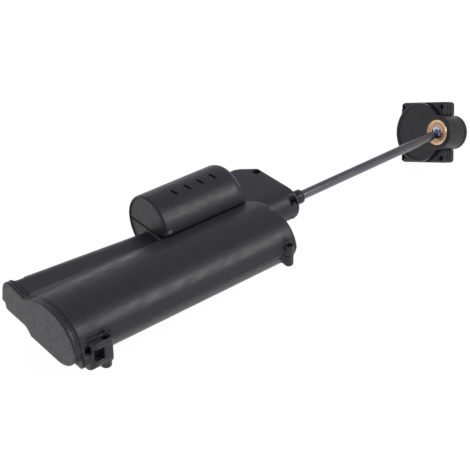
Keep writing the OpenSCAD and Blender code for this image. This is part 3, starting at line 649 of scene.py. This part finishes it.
def make_joint():
    """The race on the ball, the liner round it, and the grooved ring that holds them."""
    race = turned("inner_race_turned", zone(RACE_R, -4, 5), r=0.15, segments=128, centre=BALL)
    adopt(race, "race", "bearing_steel", "inner_race")
    liner = turned("ball_liner_turned", zone(LINER_R, -5.5, 7), r=0.2, segments=128, centre=BALL,
                   turn=BRACKET_TURN)
    adopt(liner, "liner", "liner_copper", "ball_liner")
    rims = [(-5.2, 11.2), (-5.2, 12.2), (-4.4, 12.4), (-4.4, 13.1), (-5.6, 13.3), (-5.6, 14.1),
            (-4.9, 14.5)]
    sleeve = [(-4.05, 14.5), (-4.05, 12.9), (1.5, 12.9)]
    seat = ball_side(SEAT_R, 1.5, -4.55, steps=14)
    ring = turned("brass_ring_turned", rims + sleeve + seat, r=0.25, segments=160, centre=BALL,
                  turn=BRACKET_TURN)
    adopt(ring, "bracket", "ring_brass", "brass_ring")


# ---------- the bracket, drawn about the ball's centre with its socket's axis along X ----------

DISC_Y = 35.6                                    # middle of the round plate
DISC_R = 34.0
DISC_FACE = 2.0
BASE_Y = 34.0                                    # middle of the square base
BASE_HALF = (33.35, 35.0)
BASE_FACE = 10.05
HOLE_OUT = 58.5 / 2                              # from the base's middle to its holes
SOCKET_R = 19.4
SOCKET_FACE = -4.0
BRACKET_REAR = 26.0
CORNERS = [(sy, sz) for sy in (-1, 1) for sz in (-1, 1)]
PLATE_SCREWS = [(DISC_Y + 20 * math.cos(a), 20 * math.sin(a)) for a in np.radians((0, 120, 240))]


def tilt(piece):
    """Moves a piece drawn about the ball's centre to where the bracket rests."""
    piece.data.transform(Matrix.Translation(BALL * MM) @ BRACKET_TURN.to_4x4())
    return piece


def drop(g, length, r0, r1):
    """A drop lying along Y: radius r0 round the socket's axis, narrowing to r1."""
    lean = (r0 - r1) / length
    flank = math.sqrt(1 - lean * lean)
    across = np.abs(g.z)
    reach = flank * g.y - lean * across
    side = flank * across + lean * g.y - r0
    near = np.hypot(g.y, across) - r0
    far = np.hypot(g.y - length, across) - r1
    return np.where(reach < 0, near, np.where(reach > flank * length, far, side))


def make_socket():
    """The round pot that holds the joint, and the round plate beside it."""
    g = Grid((-5.5, -21, -36), (23, 71.5, 36), step=0.5)
    pot = both(bar(g, (0, 0), SOCKET_R), slab(g.x, SOCKET_FACE, BRACKET_REAR - 5.2), 1.4)
    disc = both(bar(g, (DISC_Y, 0), DISC_R), slab(g.x, DISC_FACE, 10), 1.2)
    # a drop-shaped pad runs from round the pot to the middle of the plate, which is dished
    pad = drop(g, DISC_Y + 8, SOCKET_R + 4.5, 9.0)
    dish = both(bar(g, (DISC_Y, 0), DISC_R - 3.6), g.x - DISC_FACE - 1.4, 0.5)
    disc = cut(disc, both(dish, -pad, 0.8), 0.6)
    neck = both(both(np.abs(g.z) - 17.5, slab(g.y, 0, DISC_Y)), slab(g.x, 4, 10), 1.5)
    body = join(join(disc, neck, 2.0), pot, 3.0)
    body = cut(body, bar(g, (0, 0), 13.0), 0.8)
    for place in PLATE_SCREWS:
        body = cut(body, both(bar(g, place, 1.7), 5 - g.x))
    piece = tilt(skin("socket_housing_skin", g, body, adaptivity=0.02))
    adopt(piece, "bracket", "bracket_black", "socket_housing")


def rounded_rect(g, half_y, half_z, r):
    """An endless bar along X round the base's middle, with rounded corners."""
    dy = np.abs(g.y - BASE_Y) - half_y + r
    dz = np.abs(g.z) - half_z + r
    return np.hypot(np.maximum(dy, 0), np.maximum(dz, 0)) + np.minimum(np.maximum(dy, dz), 0) - r


def make_base():
    """The square base with grooves round its sides and a pad in each corner."""
    g = Grid((6.0, -1, -37), (BRACKET_REAR + 1.5, 69.5, 37), step=0.5)
    base = both(rounded_rect(g, *BASE_HALF, 4.0), slab(g.x, BASE_FACE, BRACKET_REAR), 1.0)
    groove_floor = rounded_rect(g, BASE_HALF[0] - 1.2, BASE_HALF[1] - 1.2, 3.0)
    for x in (12.9, 17.1):
        base = cut(base, both(-groove_floor, slab(g.x, x, x + 2), 0.3), 0.5)
    for sy, sz in CORNERS:
        diagonal = (sy * (g.y - BASE_Y) + sz * g.z - 2 * BASE_HALF[0] + 20) / math.sqrt(2)
        pad = both(rounded_rect(g, BASE_HALF[0] - 1, BASE_HALF[1] - 1, 3.5), -diagonal, 0.8)
        pad = both(pad, slab(g.x, 7.5, 11), 0.8)
        base = join(base, cut(pad, bar(g, (DISC_Y, 0), DISC_R + 0.4), 0.3))
    base = cut(base, bar(g, (0, 0), SOCKET_R + 0.3), 0.8)
    for sy, sz in CORNERS:
        centre = (BASE_Y + sy * HOLE_OUT, sz * HOLE_OUT)
        base = cut(base, bar(g, centre, 2.25), 0.5)
        base = cut(base, both(bar(g, centre, 3.4), g.x - 8.6), 0.3)
    for place in PLATE_SCREWS:
        base = cut(base, bar(g, place, 1.7))
        base = cut(base, both(bar(g, place, 3.4), 19.5 - g.x), 0.4)
    piece = tilt(skin("base_block_skin", g, base, adaptivity=0.02))
    adopt(piece, "bracket", "bracket_black", "base_block")


def make_barrel_cap():
    """The lid at the pot's rear, with a plug that reaches into its bore."""
    x0, x1 = BRACKET_REAR - 5, BRACKET_REAR - 0.05
    profile = [(16.6, 0), (16.6, 12.9), (x0, 12.9), (x0, SOCKET_R), (x1 - 1.2, SOCKET_R),
               (x1, SOCKET_R - 1.4), (x1, 15.5), (x1 - 0.6, 15.0), (x1 - 0.6, 0)]
    cap = turned("barrel_cap_turned", profile, r=0.6, segments=128, centre=BALL, turn=BRACKET_TURN)
    adopt(cap, "bracket", "bracket_black", "barrel_cap")


# ---------- finishes ----------

class Tree:
    """Makes a material's nodes and wires them."""

    def __init__(self, name):
        self.material = bpy.data.materials.new(name)
        self.material.use_nodes = True
        self.nodes = self.material.node_tree.nodes
        self.shader = self.nodes["Principled BSDF"]
        self.place = self.add("ShaderNodeTexCoord").outputs["Object"]

    def add(self, kind, **inputs):
        node = self.nodes.new(kind)
        for key, value in inputs.items():
            socket = node.inputs[key.replace("_", " ")]
            self.put(socket, value)
        return node

    def put(self, socket, value):
        if isinstance(value, bpy.types.NodeSocket):
            self.material.node_tree.links.new(value, socket)
        else:
            socket.default_value = value

    def noise(self, scale, detail=3.0, stretch=None, rough=0.5):
        place = self.place
        if stretch:
            place = self.add("ShaderNodeMapping", Vector=place, Scale=stretch).outputs[0]
        return self.add("ShaderNodeTexNoise", Vector=place, Scale=scale, Detail=detail,
                        Roughness=rough).outputs["Fac"]

    def ranged(self, value, low, high, start=0.3, end=0.7):
        """The value's range from start to end, mapped to the one from low to high."""
        node = self.add("ShaderNodeMapRange", Value=value)
        for key, v in zip(("From Min", "From Max", "To Min", "To Max"), (start, end, low, high)):
            node.inputs[key].default_value = v
        return node.outputs[0]

    def times(self, a, b):
        node = self.nodes.new("ShaderNodeMath")
        node.operation = "MULTIPLY"
        self.put(node.inputs[0], a)
        self.put(node.inputs[1], b)
        return node.outputs[0]

    def plus(self, a, b):
        node = self.nodes.new("ShaderNodeMath")
        node.operation = "ADD"
        node.use_clamp = True
        self.put(node.inputs[0], a)
        self.put(node.inputs[1], b)
        return node.outputs[0]

    def mixed(self, share, a, b):
        node = self.nodes.new("ShaderNodeMix")
        node.data_type = "RGBA"
        self.put(node.inputs["Factor"], share)
        self.put(node.inputs["A"], a)
        self.put(node.inputs["B"], b)
        return [o for o in node.outputs if o.type == "RGBA"][0]

    def bump(self, height, depth, strength=1.0, below=None):
        node = self.add("ShaderNodeBump", Height=height, Distance=depth, Strength=strength)
        if below is not None:
            self.put(node.inputs["Normal"], below)
        return node.outputs["Normal"]


def tint(colour, factor):
    """The colour made lighter or darker by a factor, with an alpha of one."""
    return tuple(min(1.0, c * factor) for c in colour) + (1.0,)


def moulded(name, colour, rough, spread=0.06, grain=0.00003, edge_wear_and_highlight=0.4, specular=0.31):
    """Injection-moulded plastic: fine spark-eroded grain, faint flow marks, edges rubbed smoother and
    painted lighter, partly as wear and partly as a painted highlight.
    """
    t = Tree(name)
    cloud = t.noise(22.0, 4.0)
    fleck = t.noise(2600.0, 2.0)
    base = t.mixed(t.ranged(cloud, 0.0, 1.0), tint(colour, 1 - spread), tint(colour, 1 + spread))
    base = t.mixed(t.ranged(fleck, 0.0, 0.15, 0.55, 0.8), base, tint(colour, 1.6))
    edge = t.add("ShaderNodeAttribute")
    edge.attribute_name = "edge"
    # convex edges get a lighter colour, partly rubbed wear and partly a painted highlight, and a lower
    # roughness
    worn_and_highlit_edge = t.times(t.ranged(edge.outputs["Fac"], 0.0, 1.0, 0.12, 0.8), t.ranged(t.noise(140.0), 0.2, 1.0))
    base = t.mixed(t.times(worn_and_highlit_edge, edge_wear_and_highlight), base, tint(colour, 1.9))
    t.put(t.shader.inputs["Base Color"], base)
    scuff = t.ranged(t.noise(75.0, 5.0, (1.0, 2.5, 2.5)), rough - 0.06, rough + 0.08)
    t.put(t.shader.inputs["Roughness"], t.plus(scuff, t.times(worn_and_highlit_edge, -0.12)))
    t.shader.inputs["Specular IOR Level"].default_value = specular
    coarse = t.bump(t.noise(420.0, 2.0), grain, 0.4)
    t.put(t.shader.inputs["Normal"], t.bump(t.noise(1500.0, 3.0), grain, 0.7, coarse))
    return t.material


def metal(name, colour, rough, stretch=(1.0, 1.0, 1.0), scale=300.0, depth=0.000006, spread=0.1):
    """Bare or plated metal with tool marks: noise stretched along the marks."""
    t = Tree(name)
    marks = t.noise(scale, 4.0, stretch, 0.6)
    stain = t.noise(45.0, 4.0)
    base = t.mixed(t.ranged(stain, 0.0, 1.0), tint(colour, 1 - spread), tint(colour, 1 + spread))
    base = t.mixed(t.ranged(marks, 0.0, 0.35, 0.4, 0.75), base, tint(colour, 0.7))
    t.put(t.shader.inputs["Base Color"], base)
    t.shader.inputs["Metallic"].default_value = 1.0
    dull = t.plus(t.ranged(marks, rough * 0.75, rough * 1.3), t.ranged(stain, 0.0, 0.05))
    t.put(t.shader.inputs["Roughness"], dull)
    t.put(t.shader.inputs["Normal"], t.bump(marks, depth, 0.7))
    return t.material


def rubber(name, colour):
    """Matt rubber with a faint grey bloom."""
    t = Tree(name)
    bloom = t.noise(120.0, 5.0)
    base = t.mixed(t.ranged(bloom, 0.0, 1.0), tint(colour, 0.8), tint(colour, 1.8))
    t.put(t.shader.inputs["Base Color"], base)
    t.put(t.shader.inputs["Roughness"], t.ranged(bloom, 0.62, 0.85))
    t.put(t.shader.inputs["Normal"], t.bump(t.noise(1800.0, 2.0), 0.00002, 0.6))
    return t.material


def circuit(name, colour):
    """Solder mask with faint tracks under it."""
    t = Tree(name)
    brick = t.add("ShaderNodeTexBrick", Vector=t.place, Scale=120.0)
    brick.inputs["Mortar Size"].default_value = 0.06
    for key, factor in (("Color1", 1.0), ("Color2", 0.85), ("Mortar", 1.7)):
        brick.inputs[key].default_value = tint(colour, factor)
    t.put(t.shader.inputs["Base Color"], brick.outputs["Color"])
    t.put(t.shader.inputs["Roughness"], t.ranged(t.noise(200.0), 0.25, 0.4))
    t.put(t.shader.inputs["Normal"], t.bump(brick.outputs["Fac"], 0.00004, 0.5))
    return t.material


ROUND_ROD = (2600.0, 14.0, 14.0)                 # marks that run round an X axis
ALONG_ROD = (3.0, 900.0, 900.0)                  # marks that run along it
BLACK = (0.0172, 0.0165, 0.0212)

FINISHES = {
    "shell_black": lambda n: moulded(n, BLACK, 0.4),
    "collar_black": lambda n: moulded(n, (0.016, 0.0155, 0.018), 0.32),
    # the bracket's edges get the full lighter edge colour: partly wear, mostly a painted highlight
    "bracket_black": lambda n: moulded(n, (0.0155, 0.0152, 0.018), 0.36, edge_wear_and_highlight=1.0),
    "block_plastic": lambda n: moulded(n, (0.12, 0.12, 0.13), 0.55),
    "switch_black": lambda n: moulded(n, (0.03, 0.03, 0.03), 0.35),
    "plunger_red": lambda n: moulded(n, (0.6, 0.08, 0.06), 0.35),
    "cell_blue": lambda n: moulded(n, (0.1, 0.28, 0.5), 0.28, grain=0.00001),
    "capacitor_sleeve": lambda n: moulded(n, (0.05, 0.07, 0.1), 0.3, grain=0.00001),
    "relay_orange": lambda n: moulded(n, (0.65, 0.28, 0.06), 0.4),
    "gear_nylon": lambda n: moulded(n, (0.82, 0.78, 0.66), 0.42, spread=0.05),
    "carriage_white": lambda n: moulded(n, (0.8, 0.8, 0.77), 0.42, spread=0.05),
    "seat_nylon": lambda n: moulded(n, (0.75, 0.73, 0.66), 0.42, spread=0.05),
    "seal_rubber": lambda n: rubber(n, (0.02, 0.02, 0.02)),
    "board_green": lambda n: circuit(n, (0.04, 0.25, 0.1)),
    "screw_black": lambda n: metal(n, (0.05, 0.05, 0.055), 0.42),
    "bush_bronze": lambda n: metal(n, (0.72, 0.5, 0.32), 0.34, ROUND_ROD, 1.0),
    "ring_brass": lambda n: metal(n, (0.84, 0.58, 0.38), 0.24, depth=0.000002),
    "liner_copper": lambda n: metal(n, (0.5, 0.33, 0.24), 0.24, depth=0.000002),
    "plate_aluminium": lambda n: metal(n, (0.72, 0.73, 0.75), 0.36, (40.0, 900.0, 12.0), 1.0),
    "bearing_steel": lambda n: metal(n, (0.5, 0.5, 0.57), 0.22, (300.0, 9.0, 9.0), 1.0, 0.000002),
    "rail_steel": lambda n: metal(n, (0.6, 0.61, 0.63), 0.22, ALONG_ROD, 1.0),
    "strap_nickel": lambda n: metal(n, (0.7, 0.69, 0.65), 0.3, (10.0, 700.0, 10.0), 1.0),
    "motor_steel": lambda n: metal(n, (0.55, 0.56, 0.58), 0.3, ALONG_ROD, 1.0),
    "gearhead_grey": lambda n: metal(n, (0.32, 0.33, 0.35), 0.5, scale=700.0, depth=0.00003),
    "screw_steel": lambda n: metal(n, (0.5, 0.51, 0.53), 0.26, ROUND_ROD, 1.0),
    "rod_dark": lambda n: metal(n, (0.14, 0.14, 0.15), 0.15, (700.0, 5.0, 5.0), 1.0, 0.000001),
    "ball_steel": lambda n: metal(n, (0.16, 0.18, 0.25), 0.14, (30.0, 30.0, 30.0), 10.0, 0.000002),
}
made = {}


def finish(slot):
    """The slot's material, made when it is first asked for."""
    if slot not in made:
        made[slot] = FINISHES[slot](slot + "_finish")
    return made[slot]


def finish_cad_nodes():
    """Every CAD node gets its slot's material, whether it shows or not."""
    for part in frame["record"]["subparts"]:
        mesh = frame["nodes"][part["node"]].data
        mesh.materials.clear()
        mesh.materials.append(finish(part["material_slot"]))


# ---------- studio ----------

def make_softbox():
    """One softbox, high up ahead of the box on the boss's side, and turned towards the box."""
    place, target = Vector((0.95, -1.15, 1.1)), Vector((0.1, 0.0, 0.02))
    data = bpy.data.lights.new("key_softbox", "AREA")
    data.shape = "RECTANGLE"
    data.size, data.size_y = 0.6, 0.75
    data.energy = 14.5
    lamp = linked("key_softbox", data)
    lamp.location = place
    lamp.rotation_euler = (target - place).to_track_quat("-Z", "Y").to_euler()


def make_world():
    """Soft light from all round, fading overhead."""
    world = bpy.data.worlds.new("studio")
    bpy.context.scene.world = world
    world.use_nodes = True
    nodes, links = world.node_tree.nodes, world.node_tree.links
    direction = nodes.new("ShaderNodeSeparateXYZ")
    links.new(nodes.new("ShaderNodeTexCoord").outputs["Generated"], direction.inputs[0])
    fade = nodes.new("ShaderNodeMapRange")
    links.new(direction.outputs["Z"], fade.inputs["Value"])
    for key, value in (("From Max", 0.5), ("To Min", 0.88), ("To Max", 0.6)):
        fade.inputs[key].default_value = value
    links.new(fade.outputs[0], nodes["Background"].inputs["Strength"])
    nodes["Background"].inputs["Color"].default_value = (0.97, 0.955, 1.0, 1.0)


def make_floor():
    """A pale lit paper floor, half a millimetre below the lowest point."""
    bpy.ops.mesh.primitive_plane_add(size=12, location=(0.24, 0, cad_box[0][2] - 0.0005))
    floor = bpy.context.object
    floor.name = "studio_floor"
    t = Tree("floor_paper")
    paper = t.mixed(t.noise(3.0), (0.05, 0.05, 0.05, 1), (0.06, 0.06, 0.06, 1))
    t.put(t.shader.inputs["Base Color"], paper)
    t.shader.inputs["Roughness"].default_value = 0.9
    t.shader.inputs["Emission Color"].default_value = (1, 1, 1, 1)
    t.shader.inputs["Emission Strength"].default_value = 0.96
    floor.data.materials.append(t.material)


def make_camera():
    """The camera stands behind the box, high up on the boss's side, and looks forwards and down."""
    data = bpy.data.cameras.new("camera")
    data.lens = 91.07
    data.sensor_width = 36.0
    data.clip_start = 0.01
    camera = linked("camera", data)
    place = Vector((-0.4318, -0.7584, 0.6834))
    right, up = Vector((0.7694, -0.6388, 0.0)), Vector((0.3554, 0.4280, 0.8310))
    turn = Matrix((right, up, right.cross(up))).transposed()
    camera.matrix_world = Matrix.Translation(place) @ turn.to_4x4()
    bpy.context.scene.camera = camera


bpy.context.scene.view_settings.view_transform = "Standard"
finish_cad_nodes()
make_camera()
make_world()
make_floor()
make_softbox()
make_shells()
make_rear_cap()
make_motor_cover()
make_tail_cap()
make_nose()
make_rod()
make_joint()
make_socket()
make_base()
make_barrel_cap()
